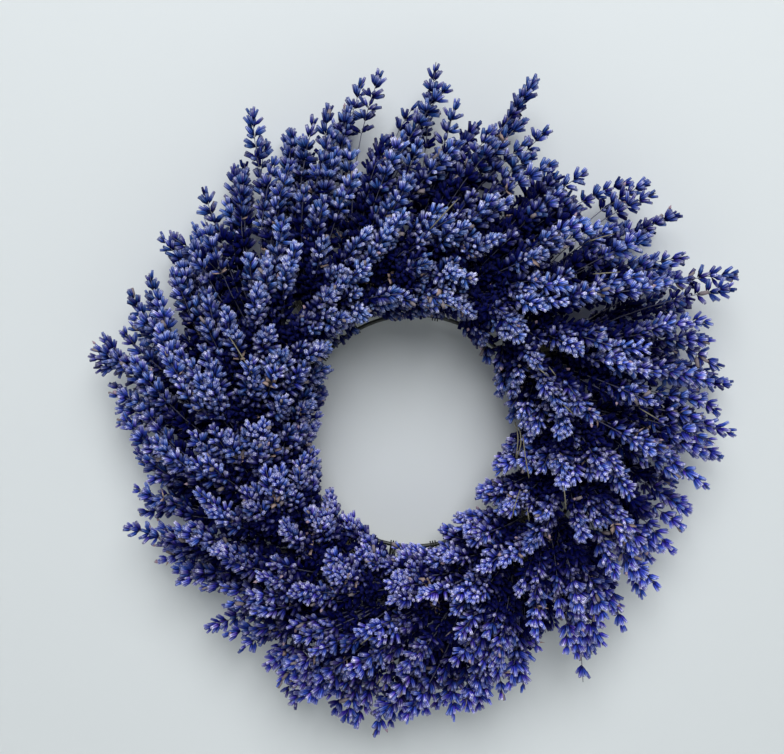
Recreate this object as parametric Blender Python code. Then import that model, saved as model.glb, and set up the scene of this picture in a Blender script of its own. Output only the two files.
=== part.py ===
"""A dried lavender wreath: a four-ring wire frame, a binding wire and eighteen tied bunches.

Run it with blender --background --python part.py. Lengths below are millimetres.
The wreath hangs in the XZ plane and faces -Y, towards whoever looks at it. The origin is the
hanging point: the underside of the frame's inner ring, at the top, where a nail carries it.
Angles round the wreath run counterclockwise from +X as seen from the front, and the bunches
are laid so that their flower heads point clockwise.
"""

import math
import random

import bmesh
import bpy
from mathutils import Vector

MM = 0.001
GAP = 0.3  # left between pieces that touch

# The frame: four welded rings, the middle two set back towards the wall.
RING_RADII = (69.0, 80.0, 91.0, 102.0)
RING_WIRE = 1.2  # radius of the frame's wire
FRAME_DEPTH = 7.0  # how far behind the inner and outer rings the middle two lie
RING_STEPS = (36, 18, 18, 36)
WELD = 1.5 * RING_WIRE  # from a ring's middle to a bar's, so the bars sink a quarter in
CROSS_BARS = 6
CENTRE_Z = RING_WIRE - RING_RADII[0]

# The bunches and the wire that ties them down.
BUNCHES = 18
PITCH = 2 * math.pi / BUNCHES
BINDING = 0.4  # radius of the binding wire
TIE_SPAN = 0.12  # share of a pitch that one turn of the wire takes
LANES = (-6.6, 0.0, 6.6)  # neighbouring bunches lie side by side in the frame's trough
LANE_RADIUS = 85.5
STEM_BUNDLE = 2.8  # radius of the tied stems
STEM_FLUTE = 0.62  # how much nearer the middle the hollows between its stems are
STEM_TAIL = 2.3  # pitches from the tie to the cut ends
STEM_FLUTES = 3
LANE_Y = FRAME_DEPTH - WELD - RING_WIRE - GAP - STEM_BUNDLE  # on the frame's cross bars

# The flower heads fan out from a neck in front of the ties.
NECK_RADIUS = 86.0
NECK_Y = -11.0
HEAD_BACK = -6.0  # the flat underside of the heads, in front of the binding wire
HEAD_BASE = (10.0, 14.0)  # how far that underside runs from the neck, to the hole and outwards
HEAD_OFFSET = 0.38  # pitches from a tie, clockwise, to the middle of its heads
HALF_WIDTH = 0.43  # half of a bunch's width, in pitches
FRONT_DEPTH = 61.0  # from the neck to the frontmost tips
HOLE_RADIUS = 58.0
HOLE_TALLER = 8.0  # the hole is this much higher, and narrower, than a circle
LEAN = math.radians(0.25)  # clockwise, for each millimetre away from the neck, outwards
LEAN_GROWTH = 4.4  # how many times greater it is on the side of the hole
CORE_SHARE = 0.52  # how far out towards the tips the dense inner heads reach
CORE_RELIEF = 4.0  # how far their buds stand out
CORE_HUB = 16.0  # from the neck to the middle of the flat sides between two bunches
CORE_DIRECTIONS = (-3, 20, 44, 68, 94, 124, 160)

# How far from the wreath's centre the tips of each bunch reach, from the right, counterclockwise.
REACH = (160, 174, 184, 182, 186, 195, 200, 193, 184, 177, 170, 165, 161, 165, 172, 169, 158, 157)

# One flower spike: whorls of buds up a stem, larger than life.
WHORL_STEP = 12.0
MOST_WHORLS = 4
BUDS = 3
BUD_REACH = 9.4  # from the stem to the bud tips
BUD_LENGTH = 9.4  # along the stem
STEM_RADIUS = 2.5
SPIKE_ROOT = 0.44  # share of the way out where a spike leaves the dense heads
BACK_SPIKE_ROOT = 0.3  # and the same for those along the wall, where the heads are thin

# Each spike's direction (0 outwards, 90 to the front, 180 to the hole, in degrees), and the
# place of its tip across the bunch, from -1 to 1.
SPIKES = (
    (-8, 0.60), (-6, -0.60), (8, 0.0), (22, 0.62), (24, -0.62), (39, 0.0), (55, 0.62),
    (57, -0.62), (76, 0.0), (96, 0.55), (99, -0.55), (124, 0.0), (158, 0.1),
)


def polar(angle, radius, y):
    """A point at this angle round the wreath, this far from its centre, at this depth."""
    return Vector((radius * math.cos(angle), y, CENTRE_Z + radius * math.sin(angle)))


def clear_scene():
    for obj in list(bpy.data.objects):
        bpy.data.objects.remove(obj)


def material(name, colour, roughness, metallic=0.0):
    made = bpy.data.materials.new(name)
    made.use_nodes = True
    shader = made.node_tree.nodes["Principled BSDF"]
    shader.inputs["Base Color"].default_value = (*colour, 1.0)
    shader.inputs["Roughness"].default_value = roughness
    shader.inputs["Metallic"].default_value = metallic
    return made


def add_mesh(name, points, faces, finish):
    mesh = bpy.data.meshes.new(name)
    mesh.from_pydata([point * MM for point in points], [], faces)
    mesh.materials.append(finish)
    obj = bpy.data.objects.new(name, mesh)
    bpy.context.scene.collection.objects.link(obj)
    return obj


def keep_outer_skin(mesh):
    """Fills the hollows that a union seals, and drops its loose scraps."""
    skin = bmesh.new()
    skin.from_mesh(mesh)
    islands, seen = [], set()
    for face in skin.faces:
        if face in seen:
            continue
        island, edge = [], [face]
        seen.add(face)
        while edge:
            at = edge.pop()
            island.append(at)
            for side in at.edges:
                for near in side.link_faces:
                    if near not in seen:
                        seen.add(near)
                        edge.append(near)
        islands.append(island)
    islands.sort(key=len)
    if len(islands) > 1:
        scraps = [face for island in islands[:-1] for face in island]
        bmesh.ops.delete(skin, geom=scraps, context="FACES")
        skin.to_mesh(mesh)
    skin.free()


def union(name, first, others):
    """Joins solids that run into each other into one object of this name."""
    group = bpy.data.collections.new(name + "_parts")
    bpy.context.scene.collection.children.link(group)
    for obj in others:
        group.objects.link(obj)
    joint = first.modifiers.new("join", "BOOLEAN")
    joint.operation = "UNION"
    joint.operand_type = "COLLECTION"
    joint.collection = group
    joint.solver = "MANIFOLD"
    bpy.context.view_layer.update()
    graph = bpy.context.evaluated_depsgraph_get()
    whole = bpy.data.meshes.new_from_object(first.evaluated_get(graph))
    keep_outer_skin(whole)
    first.modifiers.remove(joint)
    first.data = whole
    first.name = name
    for obj in others:
        bpy.data.objects.remove(obj)
    bpy.data.collections.remove(group)
    return first


def loft(rings, cyclic=False, hubs=None):
    """Points and faces of a closed skin through rings of equal count.

    A point is joined to the two next to it in the following ring, so that ring may be turned by
    up to one place, and a wide ring between two narrow ones makes a circle of bud tips. The ends
    are flat, or fans of triangles round two hub points.
    """
    count = len(rings[0])
    points = [point for ring in rings for point in ring]
    faces = []
    for level in range(len(rings) if cyclic else len(rings) - 1):
        low = level * count
        high = (level + 1) % len(rings) * count
        for place in range(count):
            after = (place + 1) % count
            faces.append((low + place, low + after, high + place))
            faces.append((high + place, low + after, high + after))
    top = (len(rings) - 1) * count
    if hubs:
        points.extend(hubs)
        for place in range(count):
            after = (place + 1) % count
            faces.append((after, place, len(points) - 2))
            faces.append((top + place, top + after, len(points) - 1))
    elif not cyclic:
        faces.append(tuple(reversed(range(count))))
        faces.append(tuple(range(top, top + count)))
    return points, faces


def sweep(centres, radii, count, turns=None, cyclic=False):
    """Rings of points round a line, in planes across it that follow it without twisting."""
    last = len(centres) - 1
    across = Vector((0.0, 1.0, 0.0))
    rings = []
    for place, centre in enumerate(centres):
        before = centres[place - 1] if place or cyclic else centre
        after = centres[(place + 1) % (last + 1)] if place < last or cyclic else centre
        forward = (after - before).normalized()
        across = across - forward * across.dot(forward)
        if across.length < 0.05:
            across = forward.orthogonal()
        across.normalize()
        side = forward.cross(across)
        turn = turns[place] if turns else 0.0
        angles = [turn + 2 * math.pi * step / count for step in range(count)]
        rings.append([centre + radii[place] * (across * math.cos(a) + side * math.sin(a)) for a in angles])
    return rings


def tube(name, centres, radius, sides, finish, cyclic=False):
    rings = sweep(centres, [radius] * len(centres), sides, cyclic=cyclic)
    return add_mesh(name, *loft(rings, cyclic), finish)


def wire_frame(finish):
    depths = (0.0, FRAME_DEPTH, FRAME_DEPTH, 0.0)
    rings = []
    for number, (radius, depth, steps) in enumerate(zip(RING_RADII, depths, RING_STEPS)):
        circle = [polar(2 * math.pi * step / steps, radius, depth) for step in range(steps)]
        rings.append(tube(f"ring_{number}", circle, RING_WIRE, 4, finish, cyclic=True))
    bars = []
    for number in range(CROSS_BARS):
        angle = (number + 0.5) * 2 * math.pi / CROSS_BARS
        bend = (
            (RING_RADII[0] + 0.6 * WELD, -0.2 * WELD),
            (RING_RADII[0] + 1.8 * WELD, FRAME_DEPTH - WELD),
            (RING_RADII[3] - 1.8 * WELD, FRAME_DEPTH - WELD),
            (RING_RADII[3] - 0.6 * WELD, -0.2 * WELD),
        )
        bars.append(tube(f"bar_{number}", [polar(angle, *knee) for knee in bend], RING_WIRE, 4, finish))
    return union("wire_frame", rings[0], bars + rings[1:])


def binding_wire(finish):
    """One turn round the frame and the stems at each tie, and a straight run behind to the next."""
    off = RING_WIRE + GAP + BINDING
    inner, second, third, outer = RING_RADII
    front = LANE_Y - STEM_FLUTE * STEM_BUNDLE - GAP - BINDING
    shoulder = LANES[2] + STEM_BUNDLE
    turn = (
        (second - 0.4 * off, FRAME_DEPTH + off),
        (inner - off, 0.6 * off),
        (inner - off, -0.6 * off),
        (inner, -1.2 * off),
        (LANE_RADIUS - shoulder, front),
        (LANE_RADIUS + shoulder, front),
        (outer, -1.2 * off),
        (outer + off, -0.6 * off),
        (outer + off, 0.6 * off),
        (third + 0.4 * off, FRAME_DEPTH + off),
        (LANE_RADIUS, FRAME_DEPTH + off),
    )
    route = []
    for index in range(BUNCHES):
        for place, (radius, y) in enumerate(turn):
            along = (place / (len(turn) - 1) - 0.5) * TIE_SPAN
            route.append(polar((index + along) * PITCH, radius, y))
    return tube("binding_wire", route, BINDING, 3, finish)


def bunch_point(index, distance, direction, across):
    """A point of a bunch. The lean is the same in every bunch, so no two bunches can meet."""
    lean = distance * LEAN * LEAN_GROWTH ** (direction / math.pi)
    angle = (index - HEAD_OFFSET + across * HALF_WIDTH) * PITCH - lean
    radius = NECK_RADIUS + distance * math.cos(direction)
    return polar(angle, radius, NECK_Y - distance * math.sin(direction))


def room(radius, direction, across):
    """How wide a spike may be here, this far from the wreath's centre, before the next bunch."""
    lean = radius * LEAN * LEAN_GROWTH ** (direction / math.pi)
    return (0.5 - abs(across) * HALF_WIDTH) * PITCH * radius / math.hypot(1.0, lean) - GAP


def tip_distance(index, direction):
    """How far from the neck the tips lie in this direction: a quarter ellipse out, another in."""
    angle = (index - HEAD_OFFSET) * PITCH - 60 * LEAN * LEAN_GROWTH ** (direction / math.pi)
    hole = HOLE_RADIUS - HOLE_TALLER * math.cos(2 * angle)
    width = REACH[index] - NECK_RADIUS if math.cos(direction) > 0 else NECK_RADIUS - hole
    return 1 / math.hypot(math.cos(direction) / width, math.sin(direction) / FRONT_DEPTH)


def stems(index, finish):
    """The tied stems of a bunch: a fluted bundle in the trough that rises to its heads."""
    lane = LANE_RADIUS + LANES[index % len(LANES)]
    inward = lane < NECK_RADIUS
    neck = bunch_point(index, abs(lane - NECK_RADIUS), math.pi if inward else 0.0, 0.0)
    neck.y = HEAD_BACK + GAP
    line = [neck]
    for along in (-0.14, 0.5, 1.1, 1.7, STEM_TAIL):
        line.append(polar((index + along) * PITCH, lane, LANE_Y))
    count = len(line)
    lobes = sweep(line, [STEM_BUNDLE] * count, STEM_FLUTES)
    flutes = sweep(line, [STEM_FLUTE * STEM_BUNDLE] * count, STEM_FLUTES, [math.pi / STEM_FLUTES] * count)
    rings = [[point for pair in zip(*level) for point in pair] for level in zip(lobes, flutes)]
    for point in rings[0]:
        point.y = neck.y
    return add_mesh(f"stems_{index + 1:02d}", *loft(rings), finish)


def spike(index, number, direction, across, draw, finish):
    """A flower spike: narrow rings at the nodes of its stem, wide rings at the bud tips."""
    tip = tip_distance(index, direction) * draw.uniform(0.94, 1.05)
    root = tip * (BACK_SPIKE_ROOT if direction < 0 else SPIKE_ROOT)
    whorls = max(1, min(MOST_WHORLS, int((tip - root) / WHORL_STEP)))
    first = tip - whorls * WHORL_STEP
    levels = [(root, STEM_RADIUS)]
    for whorl in range(whorls):
        place = first + whorl * WHORL_STEP
        levels.append((place + BUD_LENGTH, BUD_REACH * (1.0 - 0.3 * whorl / whorls)))
        levels.append((place + WHORL_STEP, STEM_RADIUS))
    centres, radii = [], []
    for distance, radius in levels:
        place = across * (0.35 + 0.65 * distance / tip)
        centres.append(bunch_point(index, distance, direction, place))
        from_centre = NECK_RADIUS + distance * math.cos(direction)
        radii.append(min(radius, room(from_centre, direction, place)))
    start = draw.uniform(0, 2 * math.pi)
    turns = [start + level * 1.5 * math.pi / BUDS for level in range(len(levels))]
    rings = sweep(centres, radii, BUDS, turns)
    root_point = sum(rings[0], Vector()) / BUDS
    return add_mesh(f"spike_{index}_{number}", *loft(rings[:-1], hubs=(root_point, centres[-1])), finish)


def core(index, finish):
    """The dense inner heads: a fan across the bunch, with a relief of bud tips."""
    levels = (0.88, 0.3, -0.3, -0.88)
    rings = []
    for row, across in enumerate(levels):
        ring = [
            bunch_point(index, HEAD_BASE[0], math.pi, across),
            bunch_point(index, 0.0, 0.0, across),
            bunch_point(index, HEAD_BASE[1], 0.0, across),
        ]
        for point in ring:
            point.y = HEAD_BACK
        for column, degrees in enumerate(CORE_DIRECTIONS):
            direction = math.radians(degrees)
            relief = -0.7 if row in (0, 3) else (-1) ** (row + column)
            out = CORE_SHARE * tip_distance(index, direction) + CORE_RELIEF * relief
            ring.append(bunch_point(index, out, direction, across))
        rings.append(ring)
    hubs = [bunch_point(index, CORE_HUB, math.pi / 2, across) for across in (levels[0], levels[-1])]
    return add_mesh(f"core_{index}", *loft(rings, hubs=hubs), finish)


def heads(index, finish):
    draw = random.Random(100 + index)
    spikes = [
        spike(index, number, math.radians(degrees), across, draw, finish)
        for number, (degrees, across) in enumerate(SPIKES)
    ]
    return union(f"heads_{index + 1:02d}", core(index, finish), spikes)


def main():
    clear_scene()
    painted_wire = material("painted_wire", (0.02, 0.03, 0.02), 0.5, 0.6)
    bare_wire = material("binding_wire", (0.05, 0.05, 0.05), 0.45, 0.9)
    dried_stem = material("dried_stem", (0.30, 0.27, 0.14), 0.85)
    dried_buds = material("dried_buds", (0.048, 0.055, 0.171), 0.8)
    wire_frame(painted_wire)
    binding_wire(bare_wire)
    for index in range(BUNCHES):
        stems(index, dried_stem)
        heads(index, dried_buds)


main()
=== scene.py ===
"""Dresses the dried lavender wreath: wires, tied stems and flower spikes of ribbed calyces.

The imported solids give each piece's place and form. Lengths are metres, and MM turns millimetres
into them. The wreath hangs in the XZ plane and faces -Y. Angles round it run counterclockwise
from +X, seen from the front.
"""

import math

import bpy
import numpy as np
from bpy.props import FloatProperty, FloatVectorProperty, IntProperty, PointerProperty
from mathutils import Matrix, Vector


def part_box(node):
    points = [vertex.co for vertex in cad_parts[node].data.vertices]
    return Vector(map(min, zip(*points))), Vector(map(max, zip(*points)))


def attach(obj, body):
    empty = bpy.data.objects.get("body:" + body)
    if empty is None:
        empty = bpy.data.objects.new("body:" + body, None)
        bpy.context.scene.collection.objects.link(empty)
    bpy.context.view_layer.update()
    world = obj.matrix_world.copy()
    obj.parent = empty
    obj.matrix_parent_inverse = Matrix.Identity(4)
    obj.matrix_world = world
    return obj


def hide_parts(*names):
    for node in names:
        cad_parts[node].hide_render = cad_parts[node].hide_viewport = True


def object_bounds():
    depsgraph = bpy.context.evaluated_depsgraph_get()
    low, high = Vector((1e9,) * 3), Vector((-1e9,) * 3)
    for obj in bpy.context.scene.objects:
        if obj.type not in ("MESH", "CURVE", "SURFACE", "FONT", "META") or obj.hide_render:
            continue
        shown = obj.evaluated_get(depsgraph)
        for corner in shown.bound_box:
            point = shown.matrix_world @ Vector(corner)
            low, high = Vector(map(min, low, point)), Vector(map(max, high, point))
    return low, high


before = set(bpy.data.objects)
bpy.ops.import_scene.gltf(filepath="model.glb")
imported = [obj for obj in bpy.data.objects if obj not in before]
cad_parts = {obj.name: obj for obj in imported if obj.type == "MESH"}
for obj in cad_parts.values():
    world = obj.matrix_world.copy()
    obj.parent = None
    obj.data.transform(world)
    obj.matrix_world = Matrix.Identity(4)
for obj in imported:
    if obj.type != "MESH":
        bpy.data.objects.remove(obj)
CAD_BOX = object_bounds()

bl_info = {
    "name": "Dried lavender wreath",
    "version": (1, 0, 0),
    "blender": (4, 5, 0),
    "location": "View3D > Sidebar > Wreath",
    "description": "Builds the pieces and finishes of a dried lavender wreath on its frame",
    "category": "Add Mesh",
}

MM = 0.001

# The frame and the bunches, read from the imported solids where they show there.
RING_LOW, RING_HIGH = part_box("wire_frame")
BUNCHES = sum(1 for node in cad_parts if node.startswith("heads_"))
PITCH = 2 * math.pi / BUNCHES
RING_WIRE = 1.2 * MM  # radius of the frame's wire
CENTRE_Z = (RING_LOW.z + RING_HIGH.z) / 2
OUTER_RING = (RING_HIGH.x - RING_LOW.x) / 2 - RING_WIRE
RING_GAP = 11 * MM
RINGS = [OUTER_RING - RING_GAP * number for number in (3, 2, 1, 0)]
FRAME_DEPTH = 7 * MM
CROSS_BARS = 6

# How a bunch lies: its lane in the frame's trough, its neck in front, and the fan of its heads.
LANES = (-6.6 * MM, 0.0, 6.6 * MM)
LANE_RADIUS = 85.5 * MM
LANE_Y = 0.9 * MM
STEM_TAIL = 2.3  # pitches from the tie to the cut ends
GOLDEN_TURN = 2.39996  # radians
TIE_SPAN = 0.12  # pitches that the turns of one tie take
NECK_RADIUS = 86 * MM
NECK_Y = -11 * MM
HEAD_BACK = -6 * MM
HEAD_OFFSET = 0.38  # pitches from a tie, clockwise, to the middle of its heads
HALF_WIDTH = 0.43  # half of a bunch's width, in pitches
FRONT_DEPTH = 61 * MM
LEAN = math.radians(0.25) / MM  # clockwise, for each metre away from the neck, outwards
LEAN_GROWTH = 4.4  # how many times greater it is on the side of the hole
TIP_SWEEP, SWEEP_SWING = 1.02, 0.38  # times the lean that tips are combed, and how that varies
HOLE_SPIKE = 29 * MM  # how far a spike that points into the hole is from neck to tip
REACH = np.array((160, 174, 184, 182, 186, 195, 200, 193, 184,
                  177, 170, 165, 161, 165, 172, 169, 158, 157)) * MM

# From the wreath's centre to the rim of its hole, every twenty degrees from ten degrees on.
HOLE = np.array((54, 52, 61, 71, 68, 76, 71, 58, 54, 57, 57, 56, 64, 65, 55, 48, 47, 44)) * MM
HOLE_ANGLES = np.radians(np.arange(10, 370, 20))

# The photograph's camera: 784 x 754 pixels, six degrees above the wreath's middle.
PICTURE = (784, 754)
SENSOR = 36.0
LENS = 53.6
WALL_Y = 14 * MM
CAMERA_AIM = Vector((-13 * MM, WALL_Y, -36.8 * MM))
CAMERA_DISTANCE = 700 * MM
CAMERA_RISE = math.radians(6)
PIXEL = SENSOR / LENS / PICTURE[0]  # width of a pixel at a distance of one

# One map for every piece of a bunch. It has a column for each tone of calyx, and bands above.
SKIN_MAP = "OFBake"
COLUMNS = 48
CALYX_BAND = (0.02, 0.60)
STEM_BAND = (0.66, 0.76)
BRACT_BAND = (0.80, 0.87)
PETAL_BAND = (0.91, 0.98)
RIBS = 5  # of the thirteen that a calyx has, so that they are wide enough to show

# Where single sprigs end in the photograph: pixel across, pixel down, and where they head, in
# degrees counterclockwise from the picture's right.
SPRIG_TIPS = (
    (436, 62, 83), (381, 71, 67), (457, 102, 72), (537, 78, 55), (549, 128, 42), (587, 172, 30),
    (650, 181, 27), (656, 193, 22), (617, 226, 25), (679, 213, 24), (688, 256, 10), (738, 275, 0),
    (735, 288, 8), (711, 323, -5), (722, 369, -35), (730, 384, -5), (720, 414, -40), (734, 433, -15),
    (714, 457, -20), (684, 475, -55), (690, 512, -30), (683, 529, -40), (662, 550, -35), (659, 588, -45),
    (641, 597, -78), (624, 631, -75), (603, 646, -60), (592, 655, -75), (577, 659, -92), (540, 651, -60),
    (525, 690, -75), (503, 699, -80), (481, 709, -75), (454, 720, -85), (426, 714, -80), (402, 717, -80),
    (391, 727, -85), (377, 735, -98), (355, 726, -110), (333, 715, -115), (313, 702, -120),
    (292, 706, -118), (277, 684, -135), (266, 668, -140), (239, 650, -150), (206, 629, -160),
    (177, 582, -170), (148, 481, -165), (125, 527, 160), (134, 442, 172), (116, 423, -174),
    (117, 409, 172), (110, 394, 165), (112, 383, 135), (96, 368, -170), (91, 357, 172), (94, 347, 148),
    (103, 336, 120), (130, 316, 150), (130, 291, 112), (149, 273, 98), (160, 236, 128), (203, 188, 105),
    (252, 110, 92), (329, 105, 80), (352, 143, 80), (420, 140, 70), (342, 180, 95), (266, 140, 75),
    (262, 180, 95), (292, 130, 95), (225, 200, 115), (131, 325, 140), (170, 236, 150), (140, 512, -175),
    (160, 560, -165), (528, 90, 60), (600, 225, 25), (705, 402, -8), (690, 280, 5), (275, 672, -130),
    (285, 660, -140), (350, 700, -110), (385, 690, -100), (365, 705, -105), (338, 222, 100),
    (260, 212, 103), (363, 80, 68), (349, 107, 75), (284, 694, -125), (268, 655, -140), (470, 712, -80),
    (488, 704, -76), (345, 722, -105), (122, 330, 125), (336, 345, -60), (345, 341, -60),
    (355, 335, -55), (496, 473, -140),
)
LONE_SPRIG = (583, 682, -88)  # its first and third whorls are gone, so one hangs by itself

# Notches where the photograph shows the wall between two bunches: pixel across, down, and radius.
NOTCHES = (
    (598, 186, 27), (568, 150, 16), (497, 98, 14), (468, 128, 10), (400, 118, 15), (690, 470, 14),
    (577, 154, 18), (205, 600, 14), (691, 338, 13), (665, 534, 13), (146, 480, 13), (175, 285, 10),
    (240, 637, 9), (545, 650, 8), (640, 262, 10), (132, 412, 8),
)

# Bare straws that lie over the heads in the photograph, as pixels across and down along each.
STRAWS = (
    ((515, 422), (518, 438), (516, 458)), ((519, 426), (521, 442), (517, 458)),
    ((523, 436), (525, 454), (529, 478)), ((520, 490), (515, 505), (512, 518)),
    ((559, 474), (564, 490), (566, 509)), ((537, 367), (543, 372), (549, 377)),
    ((549, 367), (553, 372), (556, 376)), ((561, 403), (567, 408), (573, 414)),
    ((639, 408), (649, 414), (659, 420)), ((527, 507), (528, 514), (529, 521)),
    ((430, 229), (444, 214), (458, 199)), ((438, 303), (450, 306), (462, 311)),
    ((590, 241), (602, 237), (614, 234)), ((593, 274), (606, 273), (620, 272)),
    ((361, 644), (366, 640), (372, 636)), ((377, 684), (380, 680), (383, 676)),
    ((229, 336), (241, 355), (252, 373)),
)


def linear(code):
    """The linear colour of an sRGB hex code: c / 12.92 in the dark, else ((c + .055) / 1.055) ^ 2.4."""
    parts = [int(code[place:place + 2], 16) / 255 for place in (1, 3, 5)]
    return [part / 12.92 if part <= 0.04045 else ((part + 0.055) / 1.055) ** 2.4 for part in parts]


def tint(name, description, code):
    looks = {"subtype": "COLOR", "size": 3, "min": 0, "max": 1}
    return FloatVectorProperty(name=name, description=description, default=linear(code), **looks)


def length(name, description, millimetres):
    looks = {"unit": "LENGTH", "precision": 4, "min": 0}
    return FloatProperty(name=name, description=description, default=millimetres * MM, **looks)


class WireSettings(bpy.types.PropertyGroup):
    """The frame's wire and the wire that ties the bunches down."""

    ring_wire: length("Ring wire", "Radius of the frame's wire", 1.2)
    binding: length("Binding wire", "Radius of the wire round the ties", 0.4)
    turns: IntProperty(name="Turns", description="Turns of wire round each tie", default=3, min=1, max=6)
    frame_colour: tint("Frame", "Baked enamel on the ring wire", "#141B18")
    binding_colour: tint("Binding", "Dark annealed steel of the binding wire", "#3A3B3A")


class StemSettings(bpy.types.PropertyGroup):
    """The tied stems behind the heads."""

    radius: length("Stem", "Radius of a stem near its cut end", 0.46)
    bundle: length("Bundle", "Radius of a bunch's tied stems", 2.8)
    colour: tint("Dry stem", "Straw with a little green left", "#8F8A62")
    shade: tint("Stem shade", "The darker side of a dried stem", "#5F5E42")


class HeadSettings(bpy.types.PropertyGroup):
    """The flower spikes of a bunch."""

    spikes: IntProperty(name="Spikes", description="Flower spikes in a bunch", default=71, min=20, max=74)
    whorls: IntProperty(name="Whorls", description="Whorls of calyces on a spike", default=6, min=2, max=9)
    spacing: length("Whorl spacing", "From one whorl to the next", 6.4)
    calyx_length: length("Calyx length", "From a calyx's foot to its mouth", 6.9)
    calyx_width: length("Calyx width", "Across a calyx at its widest", 2.25)
    stem: length("Flower stem", "Radius of a stem among the flowers", 0.4)
    stalk: tint("Stalk", "Dusky violet green of a stem among its flowers", "#4E4F63")
    straw: tint("Straw", "Bleached stems that lie over the heads", "#8A8478")
    # The foot's deep blue is painted shade where calyces crowd at the stem, and the pale mouth and lip a
    # painted highlight; the body is the calyx's own blue violet.
    foot: tint("Calyx foot", "Deep blue at the foot of a calyx", "#090B43")
    body: tint("Calyx body", "Blue violet of the ribbed tube", "#2F348E")
    mouth: tint("Calyx mouth", "Paler violet towards the mouth", "#7A7DB3")
    rim: tint("Calyx rim", "Pale lip of a dried calyx", "#B7B9D2")
    bract: tint("Bract", "Papery brown scale under a whorl", "#B49E98")
    petal: tint("Petal", "Withered petals left in a calyx", "#BBA6A8")
    faded: tint("Faded calyx", "Grey brown of a calyx that has lost its blue", "#93898C")


class StageSettings(bpy.types.PropertyGroup):
    """The plain wall and floor round the wreath, and its light."""

    wall: tint("Wall", "Flat pale paint of the wall", "#CBD0D2")
    floor: tint("Floor", "Flat pale floor", "#D9DAD6")
    sky: FloatProperty(name="Sky", description="Strength of the soft light from above", default=33.5, min=0)
    around: FloatProperty(name="Room", description="Strength of light from all sides", default=0.24, min=0)


def settings(name):
    return getattr(bpy.context.scene, "wreath_" + name)


def polar(angle, radius, y):
    """Points at these angles round the wreath, this far from its centre, at these depths."""
    angle, radius, y = np.broadcast_arrays(angle, radius, y)
    return np.stack([radius * np.cos(angle), y, CENTRE_Z + radius * np.sin(angle)], axis=-1)


def unit(vectors):
    return vectors / np.maximum(np.linalg.norm(vectors, axis=-1, keepdims=True), 1e-12)


def out_from(points):
    """How far points are from the wreath's axis."""
    return np.hypot(points[..., 0], points[..., 2] - CENTRE_Z)


def angle_of(points):
    """The angles of points round the wreath."""
    return np.arctan2(points[..., 2] - CENTRE_Z, points[..., 0])


def neck_distance(points):
    """How far points are from the circle that the bunches' necks lie on."""
    return np.hypot(out_from(points) - NECK_RADIUS, points[..., 1] - NECK_Y)


def outward(angle):
    """Unit vectors away from the wreath's axis at these angles."""
    return np.stack([np.cos(angle), 0 * angle, np.sin(angle)], axis=-1)


def onward(angle):
    """Unit vectors counterclockwise along the wreath at these angles."""
    return np.stack([-np.sin(angle), 0 * angle, np.cos(angle)], axis=-1)


def swing(index, degrees):
    """A cosine round the wreath: 1 for a bunch tied at this many degrees, -1 for one opposite."""
    return math.cos(index * PITCH - math.radians(degrees))


def sweep_of(index):
    """Times the lean that a bunch's tips are combed: a mean, less a swing that peaks at 55 degrees."""
    return TIP_SWEEP - SWEEP_SWING * swing(index, 55)


def lean_rate(direction):
    """The clockwise turn per metre: it grows by the power of direction / 180 degrees, out to in."""
    return LEAN * LEAN_GROWTH ** (direction / math.pi)


def bunch_point(index, distance, direction, across, sweep):
    """Points of a bunch: polar steps away from its neck, wound clockwise as they go out."""
    angle = (index - HEAD_OFFSET + across * HALF_WIDTH) * PITCH - sweep * distance * lean_rate(direction)
    radius = NECK_RADIUS + distance * np.cos(direction)
    return polar(angle, radius, NECK_Y - distance * np.sin(direction))


def tip_distance(index, direction, across, sweep):
    """From neck to tips: a quarter ellipse outwards, and another one towards the hole.

    The reach outwards is read between the bunches' own reaches, at the angle where the tip ends.
    """
    own = REACH[index] - NECK_RADIUS
    ends = (np.arange(BUNCHES) - HEAD_OFFSET) * PITCH - (REACH - NECK_RADIUS) * LEAN
    middle = (index - HEAD_OFFSET + across * HALF_WIDTH) * PITCH
    reach = np.interp(middle - sweep * own * LEAN, ends, REACH, period=2 * math.pi)
    angle = middle - HOLE_SPIKE * sweep * lean_rate(direction)
    hole = np.interp(angle, HOLE_ANGLES, HOLE, period=2 * math.pi)
    width = np.where(np.cos(direction) > 0, reach - NECK_RADIUS, NECK_RADIUS - hole)
    return 1 / np.hypot(np.cos(direction) / width, np.sin(direction) / FRONT_DEPTH)


def along(lines, at):
    """Points and headings at these lengths from the start of each polyline."""
    steps = np.diff(lines, axis=1)
    size = np.linalg.norm(steps, axis=2)
    gone = np.concatenate([np.zeros((len(lines), 1)), np.cumsum(size, axis=1)], axis=1)
    place = (at[:, :, None] > gone[:, None, 1:-1]).sum(axis=2)
    row = np.arange(len(lines))[:, None]
    share = (at - gone[row, place]) / size[row, place]
    return lines[row, place] + steps[row, place] * share[..., None], unit(steps[row, place])


def line_lengths(lines):
    return np.linalg.norm(np.diff(lines, axis=1), axis=2).sum(axis=1)


def smooth_line(knots, count):
    """A Catmull-Rom curve: count points, each a cubic blend of the four nearest knots."""
    knots = np.asarray(knots, float)
    padded = np.concatenate([2 * knots[:1] - knots[1:2], knots, 2 * knots[-1:] - knots[-2:-1]])
    at = np.linspace(0, len(knots) - 1, count)
    place = np.minimum(at.astype(int), len(knots) - 2)
    share = (at - place)[:, None]
    p0, p1, p2, p3 = (padded[place + step] for step in range(4))
    return 0.5 * (
        2 * p1
        + (p2 - p0) * share
        + (2 * p0 - 5 * p1 + 4 * p2 - p3) * share ** 2
        + (3 * p1 - p0 - 3 * p2 + p3) * share ** 3
    )


def side_frames(lines, reference):
    """Two directions across polylines: reference made square to the line, and the third."""
    reference = np.asarray(reference)
    forward = unit(np.gradient(lines, axis=-2))
    across = unit(reference - forward * (reference * forward).sum(axis=-1, keepdims=True))
    return across, np.cross(forward, across)


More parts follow.
